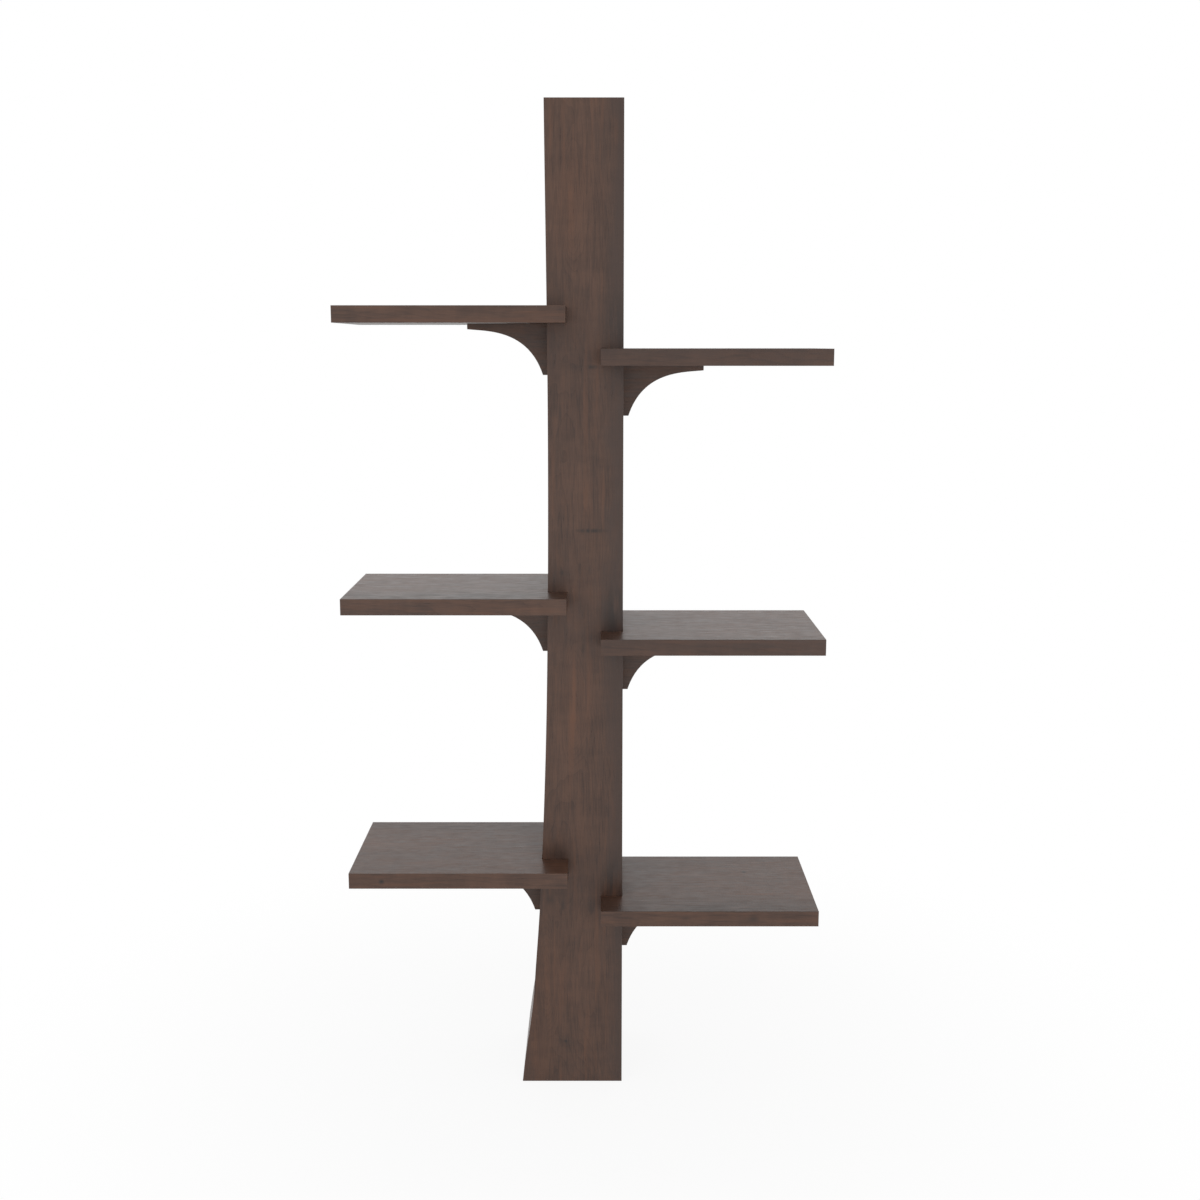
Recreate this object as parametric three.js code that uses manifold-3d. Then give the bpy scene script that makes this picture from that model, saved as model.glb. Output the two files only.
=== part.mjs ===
// Tree wall shelf: a hollow trunk with a flared foot carries six notched shelves on curved brackets.
// Millimetres. X runs along the wall, Y from the room to the wall, Z up from the floor.
// The origin is on the floor, under the middle of the shelves' spread and of their depth.
import * as THREE from "three";
import { mergeVertices } from "three/addons/utils/BufferGeometryUtils.js";
import Module from "manifold-3d";

const wasm = await Module();
wasm.setup();

// Fits shared by all pieces
const clearance = 0.3; // between a piece and the hole, pocket or slanted face that it fits
const overrun = 5; // how far a cutting body runs past what it cuts
const turnedSides = 12; // sides of a bolt, a screw and their holes
const drumSides = 20; // sides of a cam lock
const curveSteps = 20; // straight runs in a bracket's curve

// Shelves
const shelfLength = 343;
const shelfDepth = 249;
const shelfThickness = 25;
const shelfEndOffset = 26; // from the centre line to the end that laps over the trunk
const lowestShelfTop = 322.5;
const shelfPitch = 436; // from one shelf to the next on the same side
const sideStep = 62.5; // a left shelf stands this much above the right one of its pair
const levels = ["low", "middle", "high"];

// Trunk
const trunkHeight = 1558;
const trunkSetback = 65; // from the front of the shelves to the front of the trunk
const rightReach = 60.5; // from the centre line to the straight right face
const waistDrawIn = 5.5; // how much nearer the centre line the left face is at its narrowest
const footReach = 103; // from the centre line to the left face at the floor
const skin = 12; // thickness of the trunk's panels
const rebateDepth = 4; // how far the side panels are let into the front and back panels
const footBlockHeight = 40;
const coreMargin = 20; // wood left above and below the bolts in a core block
const edgeSteps = 48; // straight runs that make up the curved left edge

// The left edge from the floor to the top: how high, and how much of the foot's flare it has there
const edgeHeightShares = [0, 0.03, 0.06, 0.09, 0.13, 0.19, 0.295, 0.42, 0.67, 1];
const edgeFlareShares = [1, 0.887, 0.738, 0.612, 0.517, 0.375, 0.212, 0.086, 0, 0.067];

// Brackets
const bracketReach = 124.5; // along the shelf, from the trunk's side face
const bracketDrop = 78; // below the shelf
const bracketThickness = 25;
const bracketSetback = 108; // from the front of the shelves to the front of the brackets
const armTip = 8.4; // height of the blunt outer end
const legTip = 8.4; // width of the blunt lower end
const legPullShares = [0.25, 0.105]; // curve handle near the leg, as shares of reach and drop
const armPullShares = [0.75, 0.15]; // curve handle near the arm
const legScrewShare = 0.08; // where the screws stand along the curve, from the leg to the arm
const armScrewShare = 0.78;

// Bracket screws
const screwHeadRadius = 4;
const screwHeadHeight = 2.4;
const screwShankRadius = 2;
const screwTipLength = 3;
const armScrewSink = 0.6; // from the curved face to the middle of the screw's head
const legScrewSink = 2.2; // deeper, so that the head lies under the steeper face there
const screwCover = 2; // wood left in front of a screw's tip
const crossLength = 4.2;
const crossWidth = 1;
const crossDepth = 1.4;

// Cam bolts and cam locks
const boltEdge = 24; // from the trunk's front face and from the wall to the bolts
const boltReach = 34; // from the trunk's side face to the middle of the cam lock
const boltThreadRadius = 3;
const boltThreadLength = 22;
const boltShankRadius = 2.6;
const boltNeckRadius = 1.8;
const boltNeckLength = 4;
const boltHeadRadius = 3.4;
const boltHeadLength = 3;
const camRadius = 7.5;
const camAboveBolt = 5; // cam lock above the bolt's axis
const camCrossLength = 8;
const camCrossWidth = 1.6;
const camCrossDepth = 2.5;

// Keyhole wall plate, let into the back of the trunk
const plateWidth = 20;
const plateHeight = 64;
const plateThickness = 2.5;
const plateBelowTop = 90; // from the top of the trunk to the middle of the plate
const plateScrewEdge = 8; // from the plate's upper and lower ends to its screws
const plateScrewHeadRadius = 3.2;
const plateScrewHeadHeight = 1.8;
const plateScrewShankRadius = 1.5;
const keyholeEntryRadius = 5;
const keyholeSlotRadius = 2.4;
const keyholeRise = 13; // from the middle of the round entry to the top of the slot
const keyholeFloor = 4; // panel left behind the pocket for the wall screw's head
const keyholeRim = 2; // pocket beyond the keyhole on all sides

// Places that follow from the sizes
const roomFace = -shelfDepth / 2;
const wallFace = shelfDepth / 2;
const waistReach = rightReach - waistDrawIn; // the same to the left face at its narrowest
const trunkFront = roomFace + trunkSetback;
const skinBack = trunkFront + skin;
const backPanelFront = wallFace - skin;
const bracketFront = roomFace + bracketSetback;
const bracketMiddle = bracketFront + bracketThickness / 2;
const screwBite = skin - screwCover;
const sides = { left: -1, right: 1 };
const boltPlaces = { front: trunkFront + boltEdge, back: wallFace - boltEdge };

const model = new THREE.Group();

// Finishes
const walnut = { color: 0x5a4a43, roughness: 0.45, metalness: 0 };
const bareWood = { color: 0xb89a72, roughness: 0.8, metalness: 0 };
const zincSteel = { color: 0xaeb2b5, roughness: 0.4, metalness: 0.9 };
const castZinc = { color: 0x8f9396, roughness: 0.5, metalness: 0.8 };

// A closed three.js geometry as a solid that can be joined and cut.
function solidOf(geometry) {
  geometry.deleteAttribute("normal");
  geometry.deleteAttribute("uv");
  const merged = mergeVertices(geometry);
  const corners = merged.index.array;
  const triangles = [];
  for (let i = 0; i < corners.length; i += 3) {
    const [a, b, c] = corners.slice(i, i + 3);
    if (a !== b && b !== c && c !== a) triangles.push(a, b, c);
  }
  return new wasm.Manifold(
    new wasm.Mesh({
      numProp: 3,
      vertProperties: merged.attributes.position.array,
      triVerts: new Uint32Array(triangles),
    }),
  );
}

// Puts a finished solid into the model as one named piece.
function addPiece(name, solid, finish) {
  const { vertProperties, triVerts } = solid.getMesh();
  const geometry = new THREE.BufferGeometry();
  geometry.setAttribute("position", new THREE.BufferAttribute(vertProperties, 3));
  geometry.setIndex(new THREE.BufferAttribute(triVerts, 1));
  const flat = geometry.toNonIndexed();
  flat.computeVertexNormals();
  const piece = new THREE.Mesh(flat, new THREE.MeshStandardMaterial(finish));
  piece.name = name;
  model.add(piece);
}

// A block between two corners.
function block(low, high) {
  const size = high.map((value, i) => value - low[i]);
  const middle = high.map((value, i) => (value + low[i]) / 2);
  return solidOf(new THREE.BoxGeometry(...size).translate(...middle));
}

// A shape drawn in X and Z, given its thickness from one Y to another.
function board(shape, front, back) {
  const geometry = new THREE.ExtrudeGeometry(shape, {
    depth: back - front,
    bevelEnabled: false,
    curveSegments: turnedSides / 2,
  });
  return solidOf(geometry.rotateX(Math.PI / 2).translate(0, back, 0));
}

// A turned piece round the Y axis, from pairs of radius and Y that start and end on the axis.
function turning(pairs) {
  const profile = pairs.map(([radius, y]) => new THREE.Vector2(radius, y));
  return new THREE.LatheGeometry(profile, turnedSides);
}

// A countersunk screw: head at the origin, tip towards -Y. A hole for it is grown on all sides.
function screwTurning(headRadius, headHeight, shankRadius, length, grow) {
  return turning([
    [0, -length - grow],
    [shankRadius + grow, -length + screwTipLength],
    [shankRadius + grow, -headHeight],
    [headRadius + grow, -grow],
    ...(grow > 0 ? [[headRadius + grow, overrun]] : []),
    [0, grow > 0 ? overrun : 0],
  ]);
}

// A cross-shaped driver recess in the head at the origin, cut towards -Y.
function crossRecess(length, width, depth) {
  const wide = block([-length / 2, -depth, -width / 2], [length / 2, overrun, width / 2]);
  const tall = block([-width / 2, -depth, -length / 2], [width / 2, overrun, length / 2]);
  return wide.add(tall);
}

// Turns a piece made along Y to lie along X, with +Y pointing away from the trunk.
const outward = (side) => [0, 0, -sides[side] * 90];
const upward = [-90, 0, 0]; // turns -Y to point up

// The left face of the trunk: its distance from the centre line at any height.
const leftEdge = new THREE.CubicInterpolant(
  edgeHeightShares.map((share) => share * trunkHeight),
  edgeFlareShares.map((share) => waistReach + share * (footReach - waistReach)),
  1,
);
const leftReach = (height) => leftEdge.evaluate(height)[0];
const faceReach = (side, height) => (side === "left" ? leftReach(height) : rightReach);

// The curved edge as points from the floor up, moved inwards by an inset.
function leftEdgePoints(inset) {
  return Array.from({ length: edgeSteps + 1 }, (_, i) => {
    const height = (trunkHeight * i) / edgeSteps;
    return new THREE.Vector2(inset - leftReach(height), height);
  });
}

// The trunk seen from the front, with its left and right edges moved inwards.
function trunkShape(leftInset, rightInset) {
  const right = rightReach - rightInset;
  return new THREE.Shape([
    new THREE.Vector2(right, 0),
    new THREE.Vector2(right, trunkHeight),
    ...leftEdgePoints(leftInset).reverse(),
  ]);
}

// What the shelves and brackets are cut by, to fit round the trunk.
const trunkCutter = board(
  trunkShape(-clearance, -clearance),
  trunkFront - clearance,
  wallFace + overrun,
);

// A block of wood that fills the trunk between two heights, between its four panels.
const trunkHollow = board(trunkShape(skin + clearance, skin), skinBack, backPanelFront);
function trunkFiller(bottom, top) {
  const slab = block([-footReach, roomFace, bottom], [rightReach, wallFace, top]);
  return trunkHollow.intersect(slab);
}

// Heights of a shelf and of its bolts.
function shelfTop(side, level) {
  const step = side === "left" ? sideStep : 0;
  return lowestShelfTop + step + levels.indexOf(level) * shelfPitch;
}
const boltHeight = (side, level) => shelfTop(side, level) - shelfThickness / 2;

// The bolt as it stands in the trunk: thread towards -Y, head towards +Y.
const boltPairs = [
  [0, -boltThreadLength],
  [boltThreadRadius, -boltThreadLength],
  [boltThreadRadius, 0],
  [boltShankRadius, 0],
  [boltShankRadius, boltReach - boltHeadLength - boltNeckLength],
  [boltNeckRadius, boltReach - boltHeadLength - boltNeckLength],
  [boltNeckRadius, boltReach - boltHeadLength],
  [boltHeadRadius, boltReach - boltHeadLength],
  [boltHeadRadius, boltReach],
  [0, boltReach],
];
const boltHolePairs = [
  [0, -boltThreadLength - clearance],
  [boltThreadRadius + clearance, -boltThreadLength - clearance],
  [boltThreadRadius + clearance, clearance],
  [boltHeadRadius + clearance, clearance],
  [boltHeadRadius + clearance, boltReach + clearance],
  [0, boltReach + clearance],
];

// Every bolt with the hole that it needs in the trunk, its shelf and its cam lock.
const bolts = [];
for (const side of Object.keys(sides)) {
  for (const level of levels) {
    for (const [place, y] of Object.entries(boltPlaces)) {
      const height = boltHeight(side, level);
      const face = sides[side] * faceReach(side, height);
      const set = (pairs) =>
        solidOf(turning(pairs)).rotate(outward(side)).translate([face, y, height]);
      const camX = face + sides[side] * boltReach;
      bolts.push({ side, level, place, y, camX, body: set(boltPairs), hole: set(boltHolePairs) });
    }
  }
}
const boltHolesOf = (test) =>
  bolts.filter(test).reduce((all, bolt) => all.add(bolt.hole), bolts.find(test).hole);

// Cam locks: drums in the shelf's underside that grip the bolt heads.
const camHeight = shelfThickness / 2 + camAboveBolt;
function drum(radius, height, x, y, bottom) {
  const geometry = new THREE.CylinderGeometry(radius, radius, height, drumSides);
  return solidOf(geometry.rotateX(Math.PI / 2).translate(x, y, bottom + height / 2));
}

// The curve of a bracket from its leg to its arm, in reach and height from the shelf's underside.
const bracketCurve = new THREE.CubicBezierCurve(
  new THREE.Vector2(legTip, -bracketDrop),
  new THREE.Vector2(legPullShares[0] * bracketReach, -legPullShares[1] * bracketDrop),
  new THREE.Vector2(armPullShares[0] * bracketReach, -armPullShares[1] * bracketDrop),
  new THREE.Vector2(bracketReach, -armTip),
);

// Screw places on a bracket, with the wood that each passes before it bites.
const armScrew = bracketCurve.getPoint(armScrewShare);
const legScrew = bracketCurve.getPoint(legScrewShare);
const armScrewLength = -armScrew.y - armScrewSink + screwBite;
const legScrewLength = legScrew.x - legScrewSink + screwBite;
const bracketScrewTurning = (length, grow) =>
  screwTurning(screwHeadRadius, screwHeadHeight, screwShankRadius, length, grow);

// Brackets with their screws. A bracket is set out from the trunk's face at its own lower end.
const brackets = [];
for (const side of Object.keys(sides)) {
  for (const level of levels) {
    const underside = shelfTop(side, level) - shelfThickness;
    const face = faceReach(side, underside - bracketDrop);
    const across = (reach) => sides[side] * (face + reach);
    const outline = new THREE.Shape();
    outline.moveTo(0, underside);
    outline.lineTo(0, underside - bracketDrop);
    for (const point of bracketCurve.getPoints(curveSteps)) {
      outline.lineTo(across(point.x), underside + point.y);
    }
    outline.lineTo(across(bracketReach), underside);
    const set = {
      arm: (solid) =>
        solid
          .rotate(upward)
          .translate([across(armScrew.x), bracketMiddle, underside + armScrew.y + armScrewSink]),
      leg: (solid) =>
        solid
          .rotate(outward(side))
          .translate([across(legScrew.x - legScrewSink), bracketMiddle, underside + legScrew.y]),
    };
    const armHole = set.arm(solidOf(bracketScrewTurning(armScrewLength, clearance)));
    const legHole = set.leg(solidOf(bracketScrewTurning(legScrewLength, clearance)));
    brackets.push({ side, level, outline, set, armHole, legHole });
  }
}

// Screw with its driver recess.
function screw(turned) {
  return solidOf(turned).subtract(crossRecess(crossLength, crossWidth, crossDepth));
}

// Side panels, let into the front and back panels: the left one is bent to the trunk's curve.
const sideFront = skinBack - rebateDepth;
const sideBack = backPanelFront + rebateDepth;
function leftStrip(outerInset, innerInset) {
  const shape = new THREE.Shape([
    ...leftEdgePoints(innerInset),
    ...leftEdgePoints(outerInset).reverse(),
  ]);
  return board(shape, sideFront, sideBack);
}
const sideSolids = {
  left: leftStrip(0, skin),
  right: block([rightReach - skin, sideFront, 0], [rightReach, sideBack, trunkHeight]),
};
for (const [side, solid] of Object.entries(sideSolids)) {
  let panel = solid.subtract(boltHolesOf((bolt) => bolt.side === side));
  for (const bracket of brackets.filter((item) => item.side === side)) {
    panel = panel.subtract(bracket.legHole);
  }
  addPiece(`trunk_${side}_side`, panel, walnut);
}

// Front and back panels, the full width of the trunk, with rebates for the side panels.
const rebates = leftStrip(-overrun, skin + clearance).add(
  block(
    [rightReach - skin - clearance, sideFront, -overrun],
    [rightReach + overrun, sideBack, trunkHeight + overrun],
  ),
);
const frontPanel = board(trunkShape(0, 0), trunkFront, skinBack).subtract(rebates);
addPiece("trunk_front_panel", frontPanel, walnut);

// Places on the keyhole wall plate, from its own middle
const plateZ = trunkHeight - plateBelowTop;
const plateX = (rightReach - leftReach(plateZ)) / 2;
const plateScrewSpacing = plateHeight - 2 * plateScrewEdge;
const keyholeBottom = -keyholeRise / 2;
const plateScrewPlaces = {
  upper: plateZ + plateScrewSpacing / 2,
  lower: plateZ - plateScrewSpacing / 2,
};
const plateScrewLength = skin - screwCover;
const plateScrewTurning = (grow) =>
  screwTurning(
    plateScrewHeadRadius,
    plateScrewHeadHeight,
    plateScrewShankRadius,
    plateScrewLength,
    grow,
  );
const plateScrewHoles = Object.values(plateScrewPlaces).map((z) =>
  solidOf(plateScrewTurning(clearance)).translate([plateX, wallFace, z]),
);

// A block round a place on the wall plate's middle, cut into the back of the trunk.
function backCut(halfWidth, bottom, top, depth) {
  return block(
    [plateX - halfWidth, wallFace - depth, plateZ + bottom],
    [plateX + halfWidth, wallFace + overrun, plateZ + top],
  );
}
const plateRecess = backCut(
  plateWidth / 2 + clearance,
  -plateHeight / 2 - clearance,
  plateHeight / 2 + clearance,
  plateThickness,
);
const keyholePocket = backCut(
  keyholeEntryRadius + keyholeRim,
  keyholeBottom - keyholeEntryRadius - keyholeRim,
  keyholeBottom + keyholeRise + keyholeRim,
  skin - keyholeFloor,
);
let backPanel = board(trunkShape(0, 0), backPanelFront, wallFace).subtract(rebates);
for (const cut of [plateRecess, keyholePocket, ...plateScrewHoles]) {
  backPanel = backPanel.subtract(cut);
}
addPiece("trunk_back_panel", backPanel, walnut);

// Top cap, foot block and the core blocks that the shelf bolts bite into.
addPiece("trunk_top_cap", trunkFiller(trunkHeight - skin, trunkHeight), walnut);
addPiece("trunk_foot_block", trunkFiller(0, footBlockHeight), bareWood);
for (const level of levels) {
  const bottom = boltHeight("right", level) - coreMargin;
  const top = boltHeight("left", level) + coreMargin;
  const holes = boltHolesOf((bolt) => bolt.level === level);
  addPiece(`trunk_core_${level}`, trunkFiller(bottom, top).subtract(holes), bareWood);
}

// Shelves, notched round the trunk, bored for their bolts, cam locks and bracket screw.
for (const { side, level, armHole } of brackets) {
  const top = shelfTop(side, level);
  const ends = [shelfEndOffset, shelfEndOffset + shelfLength].map((end) => sides[side] * end);
  let shelf = block(
    [Math.min(...ends), roomFace, top - shelfThickness],
    [Math.max(...ends), wallFace, top],
  );
  const mine = (bolt) => bolt.side === side && bolt.level === level;
  shelf = shelf.subtract(trunkCutter).subtract(boltHolesOf(mine)).subtract(armHole);
  for (const bolt of bolts.filter(mine)) {
    const pocketHeight = camHeight + clearance + overrun;
    const pocketBottom = top - shelfThickness - overrun;
    shelf = shelf.subtract(
      drum(camRadius + clearance, pocketHeight, bolt.camX, bolt.y, pocketBottom),
    );
  }
  addPiece(`shelf_${side}_${level}`, shelf, walnut);
}

// Brackets, cut to the trunk's side face.
for (const { side, level, outline, armHole, legHole } of brackets) {
  const bracket = board(outline, bracketFront, bracketFront + bracketThickness)
    .subtract(trunkCutter)
    .subtract(armHole)
    .subtract(legHole);
  addPiece(`bracket_${side}_${level}`, bracket, walnut);
}

// Cam bolts and cam locks.
for (const { side, level, place, y, camX, body, hole } of bolts) {
  const bottom = shelfTop(side, level) - shelfThickness;
  const recess = crossRecess(camCrossLength, camCrossWidth, camCrossDepth)
    .rotate(upward)
    .translate([camX, y, bottom]);
  const cam = drum(camRadius, camHeight, camX, y, bottom).subtract(hole).subtract(recess);
  addPiece(`cam_bolt_${side}_${level}_${place}`, body, zincSteel);
  addPiece(`cam_lock_${side}_${level}_${place}`, cam, castZinc);
}

// Bracket screws.
for (const { side, level, set } of brackets) {
  const armPiece = set.arm(screw(bracketScrewTurning(armScrewLength, 0)));
  const legPiece = set.leg(screw(bracketScrewTurning(legScrewLength, 0)));
  addPiece(`bracket_arm_screw_${side}_${level}`, armPiece, zincSteel);
  addPiece(`bracket_leg_screw_${side}_${level}`, legPiece, zincSteel);
}

// Keyhole wall plate: the round entry below, the narrow slot above it.
const keyhole = new THREE.Path();
const slotMeetsEntry = Math.asin(keyholeSlotRadius / keyholeEntryRadius);
keyhole.absarc(
  plateX,
  plateZ + keyholeBottom,
  keyholeEntryRadius,
  Math.PI / 2 + slotMeetsEntry,
  Math.PI / 2 - slotMeetsEntry,
  false,
);
keyhole.absarc(
  plateX,
  plateZ + keyholeBottom + keyholeRise - keyholeSlotRadius,
  keyholeSlotRadius,
  0,
  Math.PI,
  false,
);
const plateOutline = new THREE.Shape([
  new THREE.Vector2(plateX - plateWidth / 2, plateZ - plateHeight / 2),
  new THREE.Vector2(plateX + plateWidth / 2, plateZ - plateHeight / 2),
  new THREE.Vector2(plateX + plateWidth / 2, plateZ + plateHeight / 2),
  new THREE.Vector2(plateX - plateWidth / 2, plateZ + plateHeight / 2),
]);
plateOutline.holes.push(keyhole);
let plate = board(plateOutline, wallFace - plateThickness, wallFace);
for (const hole of plateScrewHoles) {
  plate = plate.subtract(hole);
}
addPiece("wall_plate", plate, zincSteel);
for (const [place, z] of Object.entries(plateScrewPlaces)) {
  const plateScrew = screw(plateScrewTurning(0)).translate([plateX, wallFace, z]);
  addPiece(`wall_plate_screw_${place}`, plateScrew, zincSteel);
}

export default model;
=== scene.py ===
import math

import bpy
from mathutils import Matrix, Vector


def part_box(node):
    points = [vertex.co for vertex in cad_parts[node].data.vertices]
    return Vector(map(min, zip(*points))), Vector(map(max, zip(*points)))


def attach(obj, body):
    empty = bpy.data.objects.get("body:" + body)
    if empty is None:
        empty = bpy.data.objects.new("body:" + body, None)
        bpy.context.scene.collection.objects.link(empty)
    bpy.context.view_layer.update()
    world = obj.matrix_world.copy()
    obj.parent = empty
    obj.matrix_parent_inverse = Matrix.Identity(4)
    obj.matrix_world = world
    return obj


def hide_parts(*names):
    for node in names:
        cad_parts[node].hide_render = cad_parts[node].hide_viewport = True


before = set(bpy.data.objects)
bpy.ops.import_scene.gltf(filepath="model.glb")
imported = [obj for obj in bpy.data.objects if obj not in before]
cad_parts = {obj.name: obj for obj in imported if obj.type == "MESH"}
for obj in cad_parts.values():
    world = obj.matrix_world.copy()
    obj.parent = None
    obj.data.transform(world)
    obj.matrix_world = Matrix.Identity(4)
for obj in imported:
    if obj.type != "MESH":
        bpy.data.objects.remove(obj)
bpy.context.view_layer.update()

# Camera: straight in front of the trunk, at the height of the upper shelves and pitched down ten
# degrees, so that the upper boards are seen edge on and the lower ones from above.
photo_width = 1200
photo_focal_length = 1449.5
camera_place = (0.02475, -2.28396, 1.2007)
camera_tilt = math.radians(79.998)
bpy.ops.object.camera_add(location=camera_place, rotation=(camera_tilt, 0, 0))
camera = bpy.context.object
camera.data.lens = camera.data.sensor_width * photo_focal_length / photo_width
bpy.context.scene.camera = camera

# Core blocks and foot block: softwood, planed and left bare, because the trunk hides them. The
# shelf bolts bite into the cores, and the foot block closes the trunk's lower end.
pine = {
    "dark": (0.42, 0.25, 0.12, 1),
    "light": (0.68, 0.47, 0.27, 1),
    "warm": (0.62, 0.36, 0.15, 1),
    "outer": (0.66, 0.50, 0.33, 1),
    "knot": (0.16, 0.07, 0.03, 1),
}


class Wire:
    """A value in a material's node tree. Arithmetic on wires adds Math nodes to the tree."""

    def __init__(self, tree, socket=None):
        self.tree = tree
        self.socket = socket

    def node(self, kind, settings=None, inputs=None, output=0):
        """Adds a node. Its settings are made first, then the values or wires of its inputs."""
        node = self.tree.nodes.new(kind)
        for name, value in (settings or {}).items():
            setattr(node, name, value)
        for name, value in (inputs or {}).items():
            if isinstance(value, Wire):
                self.tree.links.new(value.socket, node.inputs[name])
            else:
                node.inputs[name].default_value = value
        return Wire(self.tree, node.outputs[output] if node.outputs else None)

    def parts(self):
        """The X, Y and Z of a vector."""
        split = self.node("ShaderNodeSeparateXYZ", inputs={0: self})
        return [Wire(self.tree, output) for output in split.socket.node.outputs]

    def maths(self, operation, *values):
        return self.node("ShaderNodeMath", {"operation": operation}, dict(enumerate(values)))

    def vector(self, operation, *values):
        output = "Value" if operation == "LENGTH" else "Vector"
        inputs = dict(enumerate(values))
        return self.node("ShaderNodeVectorMath", {"operation": operation}, inputs, output)

    def __add__(self, other):
        return self.maths("ADD", self, other)

    def __sub__(self, other):
        return self.maths("SUBTRACT", self, other)

    def __rsub__(self, other):
        return self.maths("SUBTRACT", other, self)

    def __mul__(self, other):
        return self.maths("MULTIPLY", self, other)

    def __truediv__(self, other):
        return self.maths("DIVIDE", self, other)

    def __pow__(self, other):
        return self.maths("POWER", self, other)

    __radd__ = __add__
    __rmul__ = __mul__


def rise(wire, low, high):
    """0 below low, 1 above high, and a smooth rise between them."""
    settings = {"interpolation_type": "SMOOTHSTEP"}
    inputs = {"Value": wire, "From Min": low, "From Max": high}
    return wire.node("ShaderNodeMapRange", settings, inputs)


def tint(share, colour, other):
    """A colour that goes over to another one as the share goes from 0 to 1."""
    inputs = {0: share, 6: colour, 7: other}
    return share.node("ShaderNodeMix", {"data_type": "RGBA"}, inputs, 2)


def figure(log, across, along, detail=2):
    """Noise drawn out along the grain, from changes per metre across it and along it."""
    drawn = log.vector("MULTIPLY", log, (across, across, along))
    return log.node("ShaderNodeTexNoise", inputs={"Vector": drawn, "Scale": 1, "Detail": detail})


def oval(place, middle, reach):
    """1 at the middle of an oval patch, and a smooth fall to 0 at its reach along each axis."""
    gap = place.vector("DIVIDE", place.vector("SUBTRACT", place, middle), reach)
    return 1 - rise(place.vector("LENGTH", gap), 0, 1)


def blend(noise, shares, start=0):
    """Adds to a start value each named noise about its middle, by its share."""
    noise_middle = 0.5
    total = start
    for kind, share in shares.items():
        total = total + share * (noise[kind] - noise_middle)
    return total


def new_finish(name):
    """An empty material: its shader, and a wire to start from."""
    material = bpy.data.materials.new(name)
    material.use_nodes = True
    return material, material.node_tree.nodes["Principled BSDF"], Wire(material.node_tree)


def join(shader, name, wire):
    wire.tree.links.new(wire.socket, shader.inputs[name])


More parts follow.
